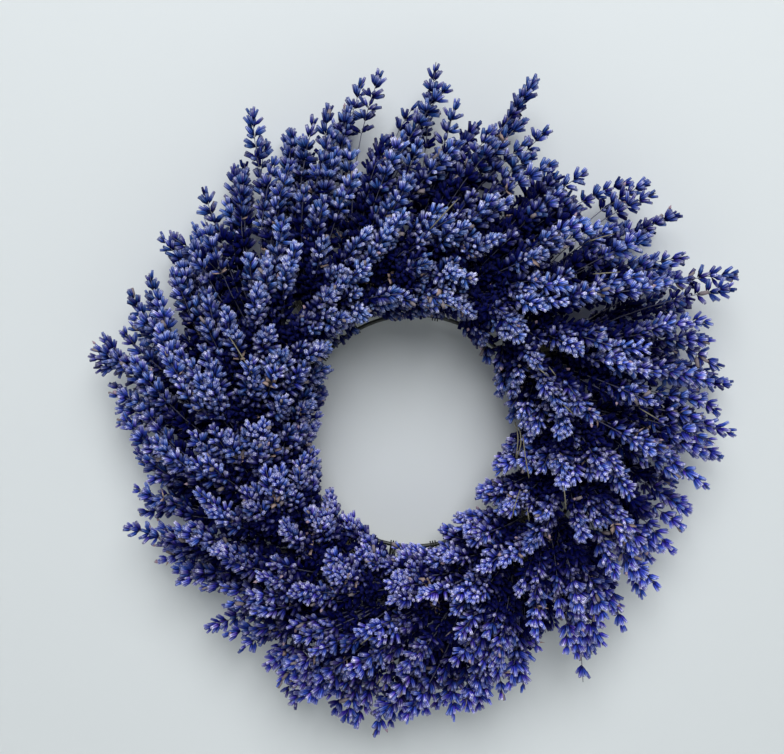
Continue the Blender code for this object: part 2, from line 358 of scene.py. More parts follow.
def tube_faces(rings, sides, cyclic=False):
    """Triangles of a tube: two to each patch between rings, and fans at its hub points."""
    level, side = np.meshgrid(np.arange(rings if cyclic else rings - 1), np.arange(sides), indexing="ij")
    level, side = level.ravel(), side.ravel()
    low, high, after = level * sides, (level + 1) % rings * sides, (side + 1) % sides
    faces = [
        np.stack([low + side, low + after, high + side], axis=1),
        np.stack([high + side, low + after, high + after], axis=1),
    ]
    if not cyclic:
        side, last, hub = np.arange(sides), (rings - 1) * sides, np.full(sides, rings * sides)
        after = (side + 1) % sides
        faces.append(np.stack([after, side, hub], axis=1))
        faces.append(np.stack([last + side, last + after, hub + 1], axis=1))
    return np.concatenate(faces)


def unwrapped(shares, turn):
    """Adds a turn to the low corners of faces that lie over the seam."""
    return np.where((np.ptp(shares, axis=1, keepdims=True) > 0.5) & (shares < 0.5), shares + turn, shares)


def tube_map(faces, rings, sides, cyclic=False):
    """Each corner's share round the tube and along it. A hub's is the mean of the face's others."""
    hub = faces >= rings * sides
    round_it = unwrapped(np.where(hub, 0, faces % sides) / sides, 1)
    along_it = np.where(hub, faces - rings * sides, faces // sides / max(rings - 1, 1))
    total = np.where(hub, 0, round_it).sum(axis=1, keepdims=True)
    mean = total / np.maximum((~hub).sum(axis=1, keepdims=True), 1)
    if cyclic:
        along_it = unwrapped(along_it, rings / (rings - 1))
    return np.stack([np.where(hub, mean, round_it), along_it], axis=-1)


def tubes(lines, radii, sides, reference, cyclic=False):
    """Round tubes along polylines: a circle of points across each point of a line.

    A cyclic line runs on from its last point to its first. Any other tube has hubs at its ends.
    """
    run = np.concatenate([lines[:, -1:], lines, lines[:, :1]], axis=1) if cyclic else lines
    across, third = side_frames(run, reference)
    if cyclic:
        across, third = across[:, 1:-1], third[:, 1:-1]
    turn = 2 * math.pi * np.arange(sides) / sides
    circle = across[..., None, :] * np.cos(turn)[:, None] + third[..., None, :] * np.sin(turn)[:, None]
    skin = lines[..., None, :] + circle * np.asarray(radii)[..., None, None]
    count, rings = lines.shape[:2]
    skin = skin.reshape(count, rings * sides, 3)
    if not cyclic:
        skin = np.concatenate([skin, lines[:, :1], lines[:, -1:]], axis=1)
    faces = tube_faces(rings, sides, cyclic)
    return skin, faces, tube_map(faces, rings, sides, cyclic)


def in_band(band, shares):
    """Heights in a band of the map at these shares of it."""
    return band[0] + np.ptp(band) * shares


def strands(lines, radii, sides, reference, number):
    """Stems as tubes with this finish, mapped along the stems' band."""
    skin, faces, spot = tubes(lines, radii, sides, reference)
    return skin, faces, np.stack([spot[..., 1], in_band(STEM_BAND, spot[..., 0])], axis=-1), number


def lathe(shares, widths, sides, marks):
    """A small closed body about +Z: a profile of widths at these shares of its length, carried round.

    Its map's height follows marks, so that a mouth's hollow can be painted darker than its lip, as painted
    shade.
    """
    turn = np.tile(2 * math.pi * np.arange(sides) / sides, len(widths))
    wide = np.repeat(widths, sides)
    ring = np.stack([wide * np.cos(turn), wide * np.sin(turn), np.repeat(shares[1:-1], sides)], axis=1)
    points = np.concatenate([ring, [[0, 0, shares[0]], [0, 0, shares[-1]]]])
    faces = tube_faces(len(widths), sides)
    heights = np.concatenate([np.repeat(marks[1:-1], sides), [marks[0], marks[-1]]])[faces]
    return points, faces, np.stack([tube_map(faces, len(widths), sides)[..., 0], heights], axis=-1)


def placed(template, feet, axes, sides, wide, thick, tall):
    """Copies of a template: foot + x wide side + y thick third + z tall axis."""
    points, faces, spots = template
    frames = np.stack([sides * wide, np.cross(axes, sides) * thick, axes * tall], axis=1)
    return feet[:, None] + np.einsum("vk,nkc->nvc", points, frames), faces, spots


def band_map(spot, band, draw, count):
    """Maps each copy to its own place along a band of the map."""
    across = draw.random((count, 1, 1)) * 0.9 + 0.1 * spot[None, ..., 1]
    return np.stack([across, np.broadcast_to(in_band(band, spot[..., 0]), across.shape)], axis=-1)


def add_object(name, data):
    obj = bpy.data.objects.new(name, data)
    bpy.context.scene.collection.objects.link(obj)
    return obj


def add_piece(name, shapes, finishes, node):
    """One mesh of copied shapes, each (skins, faces, map of each corner, finish number)."""
    points, corners, spots, numbers, first = [], [], [], [], 0
    for skin, faces, uv, number in shapes:
        count, size = skin.shape[:2]
        points.append(skin.reshape(-1, 3))
        corners.append((faces[None] + (first + size * np.arange(count))[:, None, None]).reshape(-1, 3))
        spots.append(np.broadcast_to(uv, (count, *faces.shape, 2)).reshape(-1, 2))
        numbers.append(np.full(count * len(faces), number))
        first += count * size
    mesh = bpy.data.meshes.new(name)
    mesh.from_pydata(np.concatenate(points), [], np.concatenate(corners))
    for finish in finishes:
        mesh.materials.append(finish)
    mesh.polygons.foreach_set("material_index", np.concatenate(numbers))
    mesh.uv_layers.new(name=SKIN_MAP).data.foreach_set("uv", np.concatenate(spots).ravel())
    mesh.shade_smooth()
    if mesh.validate():
        raise ValueError(f"{name} has faces that share their corners or have no area")
    obj = add_object(name, mesh)
    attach(obj, "root")
    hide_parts(node)


def add_node(tree, kind, inputs=(), **fields):
    """Adds a shader node, sets its fields, and gives each input a value or another node's output."""
    node = tree.nodes.new("ShaderNode" + kind)
    for field, value in fields.items():
        setattr(node, field, value)
    for key, value in dict(inputs).items():
        source = value.outputs[0] if isinstance(value, bpy.types.Node) else value
        if isinstance(source, bpy.types.NodeSocket):
            tree.links.new(source, node.inputs[key])
        else:
            node.inputs[key].default_value = source
    return node


def add_ramp(tree, source, stops):
    """A ramp with a colour at each of these places."""
    ramp = add_node(tree, "ValToRGB", {"Fac": source})
    elements = ramp.color_ramp.elements
    while len(elements) < len(stops):
        elements.new(0.5)
    for element, (place, colour) in zip(elements, stops):
        element.position = place
        element.color = (*colour, 1)
    return ramp


def add_bump(tree, shader, strength, distance, source):
    """Raises the surface by the source times this distance."""
    bump = add_node(tree, "Bump", {"Strength": strength, "Distance": distance, "Height": source})
    tree.links.new(bump.outputs[0], shader.inputs["Normal"])


def new_material(name, **shader):
    """A material and its shader, whose own sockets take these even values."""
    made = bpy.data.materials.new(name)
    made.use_nodes = True
    principled = made.node_tree.nodes["Principled BSDF"]
    for key, value in shader.items():
        principled.inputs[key.replace("_", " ").title().replace("Ior", "IOR")].default_value = value
    return made, made.node_tree, principled


def calyx_finish(index):
    """Dried lavender calyx: a ribbed, downy tube.

    Its foot is deep blue, painted shade where the calyces crowd at the stem, and it grows paler
    to a pale lip, a painted highlight, over the calyx's own blue violet. The ribs are painted
    lighter on their crests and darker between them, painted light and shade besides their bump,
    and the down gives its edges a soft bloom. Its column in the map says how light it is, painted
    shade of depth included, and gives it a hue by chance. Bunches are painted brightest at 8
    degrees round the wreath and darkest opposite, painted light as if from that side, and most
    violet at 310.
    """
    heads = settings("heads")
    made, tree, shader = new_material(
        f"dried_calyx_{index + 1:02d}",
        roughness=0.7, sheen_weight=0.01, sheen_roughness=0.45, specular_ior_level=0.02,
    )
    split = add_node(tree, "SeparateXYZ", {0: add_node(tree, "UVMap", uv_map=SKIN_MAP)})
    column = add_node(tree, "Math", {0: split, 1: COLUMNS}, operation="MULTIPLY")
    number = add_node(tree, "Math", {0: column}, operation="FLOOR")
    turn = add_node(tree, "Math", {0: column}, operation="FRACT")
    low, high = CALYX_BAND
    height = add_node(tree, "MapRange", {0: split.outputs["Y"], 1: low, 2: high})
    own = add_node(tree, "TexWhiteNoise", {"W": number}, noise_dimensions="1D")
    # The colours sit up to 0.14 of the height lower or higher on some calyces.
    drift = add_node(tree, "Math", {0: own, 1: 0.5}, operation="SUBTRACT")
    reach = add_node(tree, "Math", {0: drift, 1: 0.28, 2: height}, operation="MULTIPLY_ADD")
    # Painted shade and highlight: the deep blue foot stands for shade among the crowded calyces, and the
    # pale lip for a highlight.
    stops = ((0.0, heads.foot), (0.54, heads.body), (0.88, heads.mouth), (1.0, heads.rim))
    ramp = add_ramp(tree, reach, stops)
    # Painted light: bunches on the right of the wreath are made up to 13 per cent lighter and those on the
    # left as much darker, as if lit from the right.
    bright = 1.56 * (1 - 0.13 * swing(index, 188))
    tone = add_node(tree, "MapRange", {0: number, 2: COLUMNS, 3: 0.02, 4: bright})
    violet = 0.5 + 0.5 * swing(index, -50)
    hue = add_node(tree, "MapRange", {0: own, 3: 0.460 + 0.018 * violet, 4: 0.508 + 0.022 * violet})
    looks = {"Hue": hue, "Saturation": 0.99 + 0.02 * violet, "Value": tone, "Color": ramp}
    shifted = add_node(tree, "HueSaturation", looks)
    # Painted light and shade on the ribs: their crests are made lighter and their grooves darker in the
    # colour, and the same ridge drives the bump.
    ribs = add_node(tree, "Math", {0: turn, 1: RIBS * 2 * math.pi}, operation="MULTIPLY")
    ridge = add_node(tree, "Math", {0: ribs}, operation="COSINE")
    shade = add_node(tree, "MapRange", {0: ridge, 1: -1, 2: 1, 3: 0.4, 4: 1.42})
    ribbed = add_node(tree, "VectorMath", {0: shifted, 1: shade}, operation="MULTIPLY")
    # Even the darkest calyx keeps a deep blue.
    deep = add_node(tree, "VectorMath", {0: ribbed, 1: linear("#000340")}, operation="ADD")
    tree.links.new(deep.outputs[0], shader.inputs["Base Color"])
    add_bump(tree, shader, 0.5, 0.12 * MM, ridge)
    return made


def strand_finish(name, light, dark, roughness, lengthwise, tip=None):
    """A dry plant strip: long fibres of two tones, drawn out along it by the noise's stretched scale.

    Where it has a tip colour, it turns to it between a tenth and 0.45 of its length.
    """
    made, tree, shader = new_material(name, roughness=roughness, specular_ior_level=0.2)
    spot = add_node(tree, "UVMap", uv_map=SKIN_MAP)
    stretch = add_node(tree, "Mapping", {"Vector": spot, "Scale": (lengthwise, 420, 1)})
    fibres = add_node(tree, "TexNoise", {"Vector": stretch, "Scale": 1.0, "Detail": 3.0})
    mixed = add_node(tree, "Mix", {0: fibres, 6: (*dark, 1), 7: (*light, 1)}, data_type="RGBA")
    if tip:
        far = add_node(tree, "MapRange", {0: add_node(tree, "SeparateXYZ", {0: spot}), 1: 0.1, 2: 0.45})
        both = {0: far, 6: mixed.outputs[2], 7: (*tip, 1)}
        mixed = add_node(tree, "Mix", both, data_type="RGBA")
    tree.links.new(mixed.outputs[2], shader.inputs["Base Color"])
    add_bump(tree, shader, 0.4, 0.08 * MM, fibres)
    return made


def wire_finish(name, colour, metallic, roughness, fleck):
    """Steel wire: an even coat that is rubbed paler and rougher in flecks a few millimetres long."""
    made, tree, shader = new_material(name, metallic=metallic, roughness=roughness)
    place = add_node(tree, "TexCoord").outputs["Object"]
    worn = add_node(tree, "TexNoise", {"Vector": place, "Scale": 1 / (3 * MM), "Detail": 4.0})
    coat = add_ramp(tree, worn, ((0.56, colour), (0.72, fleck)))
    rough = add_node(tree, "MapRange", {0: worn, 3: roughness - 0.12, 4: roughness + 0.18})
    tree.links.new(coat.outputs[0], shader.inputs["Base Color"])
    tree.links.new(rough.outputs[0], shader.inputs["Roughness"])
    return made


class WREATH_OT_wire_frame(bpy.types.Operator):
    """Four welded rings of round wire, the middle two set back, on six bent cross bars"""

    bl_idname = "wreath.wire_frame"
    bl_label = "Wire frame"

    STEPS = 144  # round a ring
    SIDES = 10  # of the wire
    ROUNDED = (0, 0.75, 1.1, 1.9, 2.25, 3)  # a bar's ends, and places before and after each bend
    BAR_STEPS = 24

    def execute(self, context):
        wires = settings("wires")
        turn = 2 * math.pi * np.arange(self.STEPS) / self.STEPS
        depths = (0.0, FRAME_DEPTH, FRAME_DEPTH, 0.0)
        rings = np.stack([polar(turn, ring, depth) for ring, depth in zip(RINGS, depths)])
        hoops = tubes(rings, wires.ring_wire, self.SIDES, (0.0, 1.0, 0.0), cyclic=True)
        weld = 1.5 * wires.ring_wire
        inner, outer, deep = RINGS[0], RINGS[-1], FRAME_DEPTH - weld
        radii = (inner + 0.6 * weld, inner + 1.8 * weld, outer - 1.8 * weld, outer - 0.6 * weld)
        bends = (radii, (-0.2 * weld, deep, deep, -0.2 * weld))
        knots = np.stack([np.interp(self.ROUNDED, range(4), side) for side in bends], axis=1)
        angle = (np.arange(CROSS_BARS)[:, None] + 0.5) * 2 * math.pi / CROSS_BARS
        lines = polar(angle, *smooth_line(knots, self.BAR_STEPS).T)
        bars = tubes(lines, wires.ring_wire, self.SIDES, onward(angle))
        # Dark green baked enamel: smooth, half gloss, rubbed grey in places.
        enamel = wire_finish("baked_enamel_wire", wires.frame_colour, 0.0, 0.42, linear("#39413D"))
        add_piece("wire_wreath_frame", [(*hoops, 0), (*bars, 0)], [enamel], "wire_frame")
        return {"FINISHED"}


class WREATH_OT_binding_wire(bpy.types.Operator):
    """One long wire: a few turns round frame and stems at each tie, then behind to the next"""

    bl_idname = "wreath.binding_wire"
    bl_label = "Binding wire"

    def execute(self, context):
        wires, stems = settings("wires"), settings("stems")
        off = wires.ring_wire + 0.5 * wires.binding  # the curve through such knots just clears the ring
        inner, second, third, outer = RINGS
        front = LANE_Y - 0.62 * stems.bundle - 0.3 * MM - wires.binding
        shoulder = LANES[2] + stems.bundle
        # Radius and depth of one turn's knots: over the stems, and back behind the rings.
        turn = np.array((
            (second - 0.4 * off, FRAME_DEPTH + off), (inner - off, 0.6 * off), (inner - off, -0.6 * off),
            (inner, -1.2 * off), (LANE_RADIUS - shoulder, front), (LANE_RADIUS + shoulder, front),
            (outer, -1.2 * off), (outer + off, -0.6 * off), (outer + off, 0.6 * off),
            (third + 0.4 * off, FRAME_DEPTH + off), (LANE_RADIUS, FRAME_DEPTH + off),
        ))
        place = np.arange(len(turn) * wires.turns)
        share = (place / (len(place) - 1) - 0.5) * TIE_SPAN * wires.turns / 2
        angle = (np.arange(BUNCHES)[:, None] + share) * PITCH
        knots = polar(angle, *turn[place % len(turn)].T).reshape(-1, 3)
        knots = np.concatenate([knots[-1:], knots])
        line = smooth_line(knots, 3 * len(knots))[None]
        skin = tubes(line, wires.binding, 5, onward(angle_of(line)) + (0.0, 0.02, 0.0))
        # Dark annealed steel: dull, with paler flecks where it was bent.
        steel = wire_finish("annealed_steel_wire", wires.binding_colour, 0.85, 0.5, linear("#6A6560"))
        add_piece("florist_wire", [(*skin, 0)], [steel], "binding_wire")
        return {"FINISHED"}


def bundle_spots(count, radius):
    """Stems packed in a round bundle: the n-th at a golden-angle turn, out by the root of n."""
    number = np.arange(count)
    out, turn = radius * np.sqrt((number + 0.5) / count), number * GOLDEN_TURN
    return np.stack([out * np.cos(turn), out * np.sin(turn)], axis=1)


def neck_start(index):
    """Where a bunch's stems come through the gap behind its heads."""
    lane = LANE_RADIUS + LANES[index % len(LANES)]
    neck = bunch_point(index, abs(lane - NECK_RADIUS), math.pi if lane < NECK_RADIUS else 0.0, 0.0, 1.0)
    neck[1] = HEAD_BACK
    return neck


STEM_SEED, HEAD_SEED, SPRIG_SEED = 300, 500, 77
BUNCH_POINTS = 22  # points along a bunch
STEM_POINTS = 10  # along one stem
SPLAY_FROM, SPLAY = 0.72, 2.7  # share of the bunch's length, and the greatest widening past it


def tied_bunch(index, stems, count, straw):
    """Each stem keeps its spot in the bundle along one guide line, and splays at its end.

    It moves out by the share of its length past SPLAY_FROM, times up to SPLAY.
    """
    draw = np.random.default_rng(STEM_SEED + index)
    lane = LANE_RADIUS + LANES[index % len(LANES)]
    reach = np.array((-0.14, 0.5, 1.1, 1.7, STEM_TAIL))
    knots = np.concatenate([[neck_start(index)], polar((index + reach) * PITCH, lane, LANE_Y)])
    guide = smooth_line(knots, BUNCH_POINTS)
    across, third = side_frames(guide, outward(angle_of(guide)))
    spots = bundle_spots(count, stems.bundle - stems.radius)[:, None]
    past = np.clip(np.linspace(0, 1, BUNCH_POINTS) - SPLAY_FROM, 0, 1)
    splay = (1 + past[None] * draw.uniform(0, SPLAY, (count, 1)))[..., None]
    lines = guide + (spots[..., :1] * splay * across + spots[..., 1:] * splay * third)
    ends = line_lengths(lines) * draw.uniform(0.86, 1.0, count)
    lines, _ = along(lines, ends[:, None] * np.linspace(0, 1, STEM_POINTS))
    radii = stems.radius * draw.uniform(0.75, 1.1, (count, 1))
    shape = strands(lines, radii, 3, (0.1, 1.0, 0.1), 0)
    node = f"stems_{index + 1:02d}"
    add_piece(f"lavender_{node}", [shape], [straw], node)


class WREATH_OT_stems(bpy.types.Operator):
    """The tied stems of every bunch, from its neck along the frame's trough to the cut ends"""

    bl_idname = "wreath.stems"
    bl_label = "Tied stems"

    def execute(self, context):
        stems, heads = settings("stems"), settings("heads")
        straw = strand_finish("dried_stem", stems.colour, stems.shade, 0.7, 30)
        for index in range(BUNCHES):
            tied_bunch(index, stems, heads.spikes, straw)
        return {"FINISHED"}


def camera_axes():
    """The camera's place, and its rightward, upward and forward directions."""
    forward = Vector((0.0, math.cos(CAMERA_RISE), -math.sin(CAMERA_RISE)))
    right = Vector((1.0, 0.0, 0.0))
    return CAMERA_AIM - forward * CAMERA_DISTANCE, right, right.cross(forward), forward


def picture_point(across, down, y):
    """Where the camera's ray through a pixel of the photograph meets the plane at this depth."""
    eye, right, up, forward = camera_axes()
    ray = forward + right * (across - PICTURE[0] / 2) * PIXEL + up * (PICTURE[1] / 2 - down) * PIXEL
    return eye + ray * ((y - eye.y) / ray.y)


def picture_place(points):
    """The photograph's pixel, across and down, where each point shows."""
    eye, right, up, forward = (np.array(vector) for vector in camera_axes())
    ray = points - eye
    scale = PIXEL * (ray @ forward)
    return PICTURE[0] / 2 + ray @ right / scale, PICTURE[1] / 2 - ray @ up / scale


LEADERS = (
    (-8, 0.60), (-6, -0.60), (8, 0.0), (22, 0.62), (24, -0.62), (39, 0.0), (55, 0.62),
    (57, -0.62), (76, 0.0), (96, 0.55), (99, -0.55), (124, 0.0), (158, 0.1),
)
FOLLOWERS = (6, 6, 6, 6, 6, 5, 5, 5, 5, 4, 4, 6, 5)  # shorter spikes that lie along each leader
LAYERS_END = 42 * MM  # from the neck to the tips of the shortest of them
FAN = (-9, 166)  # degrees, from the wall side round the front to the hole
SPIKE_POINTS = 22  # points along a spike's stem
SPIKE_ROOT = 1.5 * MM  # from the neck to a spike's start
NOTCH_CUT = 0.78  # of its length is left to a spike that would fill a notch
STRAW_POINTS = 8
STRAW_DIP = 5 * MM
STRAY_DEPTHS = (-38, -14)  # millimetres, of stray tips
STRAY_LOW, STRAY_HIGH = 12 * MM, 14 * MM  # how far they may pass the solids' box

MEMBERS = 8  # calyces in a full whorl: two opposite tufts of four
TUFT = math.radians(90) * 0.72  # half of a tuft's width round the stem
RISES = (0, 0.7, 0.2, 0.5)  # millimetres by which its calyces stand higher up the stem
OPENING = ((0, 1, 2, 5), (20, 36, 46, 56))  # whorls from the tip, and degrees off the stem there
CLEAR = 6 * MM  # no whorl sits lower than this on a stem
NECK_CLEAR = (12 * MM, 15 * MM)  # or nearer to the necks, towards the hole and outwards
SIDE_DEPTHS = (0.80, 0.62)  # shares of the way to the skin where calyces get fewer sides
SPENT = 0.022  # of the whorls have lost most calyces
SPENT_KEEPS = 0.4
FADED = 0.012  # of the calyces have lost their blue
WITH_PETALS = 0.0045
PETAL = (2.8 * MM, 1.8 * MM, 3.3 * MM)
WITH_BRACT = 0.004
BRACT = (3.8 * MM, 1.1 * MM, 5.8 * MM)

# The tones put painted shade at the foot and in the mouth's hollow, and a painted highlight on the lip.
CALYX_PROFILE = (0, 0.42, 0.98, 0.93)  # shares of its length: foot, belly, lip and bottom of the mouth
PROFILE_TONES = (0, 0.42, 1.0, 0.80)  # how high in the ramp of colours each of them is
SPINDLE_PROFILE = (0, 0.45, 1.0)
SPINDLE = lathe(SPINDLE_PROFILE, (0.5,), 4, SPINDLE_PROFILE)
# Widths at the belly and the lip, and sides, from the skin of a bunch inwards.
CALYCES = [
    lathe(CALYX_PROFILE, widths, sides, PROFILE_TONES)
    for widths, sides in (((0.50, 0.38), 5), ((0.53, 0.41), 4), ((0.60, 0.46), 3))
]


def fan_lines(index, count, draw):
    """Lines from the neck to a bunch's tips, the skin's distance there, and each line's leader.

    Leaders keep the solid's directions. Followers lie along them a few degrees off, wider near
    the hole, and step back in even layers, so the spikes make lobes with dark valleys between
    them. All curl forward at the root.
    """
    leaders = np.array(LEADERS, float)
    first = len(leaders)
    group = np.concatenate([np.arange(first), np.repeat(np.arange(first), FOLLOWERS)])
    steps = [(np.arange(size) + 0.7) / size for size in FOLLOWERS]
    layer = np.concatenate([np.zeros(first), *steps])
    kept = np.concatenate([np.arange(first), first + draw.permutation(len(group) - first)])[:count]
    group, layer = group[kept], layer[kept]
    count, apart = len(group), layer > 0
    degrees = leaders[group, 0] + draw.normal(0, 3, first)[group] + apart * draw.normal(-2, 6, count)
    direction = np.radians(np.clip(degrees, *FAN))
    spread = 0.22 + 0.33 * np.clip(-np.cos(direction), 0, 1)
    across = leaders[group, 1] + draw.normal(0, 0.07, first)[group]
    across = across + apart * spread * draw.normal(0, 1, count)
    sweep = draw.uniform(0.86, 1.16, first)[group] + draw.normal(0, 0.03, count)
    sweep = sweep_of(index) * sweep
    skin = tip_distance(index, direction, across, sweep)
    below = np.clip(1 - LAYERS_END / skin, 0.08, 0.56)
    reach = skin * (1 - below * layer) * draw.uniform(0.95, 1.04, count)
    out = np.linspace(0, 1, SPIKE_POINTS)[None]
    curl = np.radians(22) * np.clip(np.cos(direction), 0, 1)[:, None]
    bent = direction[:, None] + curl * (1 - out) ** 1.3
    distance = SPIKE_ROOT + (reach[:, None] - SPIKE_ROOT) * out
    lines = bunch_point(index, distance, bent, across[:, None] * (0.35 + 0.65 * out), sweep[:, None])
    return trimmed(lines), skin, group


def trimmed(lines):
    """Spikes whose tips would fill a notch of the outline are cut shorter."""
    across, down = picture_place(lines[:, -1])
    ends = line_lengths(lines)
    for x, y, size in NOTCHES:
        ends = np.where(np.hypot(across - x, down - y) < size, NOTCH_CUT * ends, ends)
    return along(lines, ends[:, None] * np.linspace(0, 1, SPIKE_POINTS))[0]


def straw_lines():
    """For each bunch, bare straws over its heads, whose ends dip into the foliage.

    A point is put on the front of the heads: a quarter ellipse from the neck to the rim.
    """
    found = {}
    for pixels in STRAWS:
        points = []
        for place, (across, down) in enumerate(pixels):
            y = NECK_Y - FRONT_DEPTH
            for _ in range(3):
                spot = np.array(picture_point(across, down, y))
                away = out_from(spot) - NECK_RADIUS
                hole = np.interp(angle_of(spot), HOLE_ANGLES, HOLE, period=2 * math.pi)
                width = REACH.mean() - NECK_RADIUS if away > 0 else NECK_RADIUS - hole
                y = NECK_Y - FRONT_DEPTH * math.sqrt(max(1 - (away / width) ** 2, 0.1))
            points.append(picture_point(across, down, y - (MM if place == 1 else -STRAW_DIP)))
        index = round(angle_of(np.array(points[1])) / PITCH + 1) % BUNCHES
        found.setdefault(index, []).append(smooth_line(points, STRAW_POINTS))
    return found


def sprig_lines():
    """For each bunch, lines from its neck to the stray tips seen in the photograph.

    A line is a quadratic curve that comes to its tip from straight behind it.
    """
    found = {}
    draw = np.random.default_rng(SPRIG_SEED)
    low, high = (np.array(corner) for corner in CAD_BOX)
    share = np.linspace(0, 1, SPIKE_POINTS)[:, None]
    for across, down, heading in (*SPRIG_TIPS, LONE_SPRIG):
        tip = np.array(picture_point(across, down, draw.uniform(*STRAY_DEPTHS) * MM))
        tip = np.clip(tip, low - STRAY_LOW, high + STRAY_HIGH)
        angle = angle_of(tip)
        back = math.radians(20) * sweep_of(angle / PITCH)
        index = round((angle + back) / PITCH + HEAD_OFFSET) % BUNCHES
        start = np.array(bunch_point(index, 2 * MM, 0.4, 0.0, 1.0))
        turn = math.radians(heading)
        straight = np.array((math.cos(turn), -0.18, math.sin(turn)))
        bend = tip - 0.5 * np.linalg.norm(tip - start) * straight
        line = (1 - share) ** 2 * start + 2 * share * (1 - share) * bend + share ** 2 * tip
        found.setdefault(index, []).append((line, (across, down, heading) == LONE_SPRIG))
    return found


def flower_bunch(index, heads, strays, straws, finishes):
    """A bunch's spikes, more of them where it reaches further, and their stems."""
    draw = np.random.default_rng(HEAD_SEED + index)
    count = round(heads.spikes * np.interp(REACH[index], (REACH.min(), REACH.max()), (0.92, 1.1)))
    lines, skin, group = fan_lines(index, count, draw)
    lone = np.zeros(len(lines), bool)
    if strays:
        extra = np.array([line for line, _ in strays])
        lines = np.concatenate([lines, extra])
        skin = np.concatenate([skin, neck_distance(extra[:, -1])])
        group = np.concatenate([group, len(LEADERS) + np.arange(len(strays))])
        lone = np.concatenate([lone, [flag for _, flag in strays]])
    shapes = whorls(lines, skin, group, lone, heads, draw)
    spots = bundle_spots(len(lines), 2.2 * MM)
    angle = np.array(index * PITCH)
    root = neck_start(index) + spots[:, :1] * outward(angle) + spots[:, 1:] * onward(angle)
    stalks = np.concatenate([root[:, None], lines[:, ::3]], axis=1)
    radii = heads.stem * np.linspace(1.1, 0.6, stalks.shape[1])
    shapes.append(strands(stalks, radii, 3, (0.13, 0.21, 1.0), 1))
    if straws:
        shapes.append(strands(np.array(straws), 0.8 * heads.stem, 4, (0.13, 1.0, 0.21), 4))
    node = f"heads_{index + 1:02d}"
    add_piece(f"lavender_{node}", shapes, finishes, node)


def calyx_tones_with_painted_shade(middle, depth, group, draw):
    """How light each calyx is, from 0 to 1.

    Painted shade: it falls with a whorl's depth under the bunch's skin, where shade deepens, on
    the outer 24 mm, which turn away from the light, and above the hole, where heads hang over its
    rim in shade. Groups, spikes, whorls and calyces differ by chance.
    """
    light = draw.normal(0, 0.11, group.max() + 1)[group] + draw.normal(0, 0.09, len(group))
    radius = out_from(middle)
    # Painted shade: darker the deeper a whorl lies under the bunch's skin.
    painted_depth_shade = np.clip((0.88 - depth) / 0.33, 0, 1)
    # Painted shade on the outer 24 mm, which turn away from the light.
    outer = np.clip((radius - 154 * MM) / (24 * MM), 0, 1)
    # Painted shade above the hole, where heads hang over its rim.
    above = np.clip((middle[..., 2] - CENTRE_Z) / (50 * MM), 0, 1)
    under = np.clip((NECK_RADIUS - radius) / (20 * MM), 0, 1) * above
    light = 0.78 + light[:, None] * (1 - 0.7 * outer) - painted_depth_shade ** 1.2 - 0.36 * outer - 0.4 * under
    light = light + draw.normal(0, 0.06, depth.shape)
    return light[..., None] + draw.normal(0, 0.13, (*depth.shape, MEMBERS))


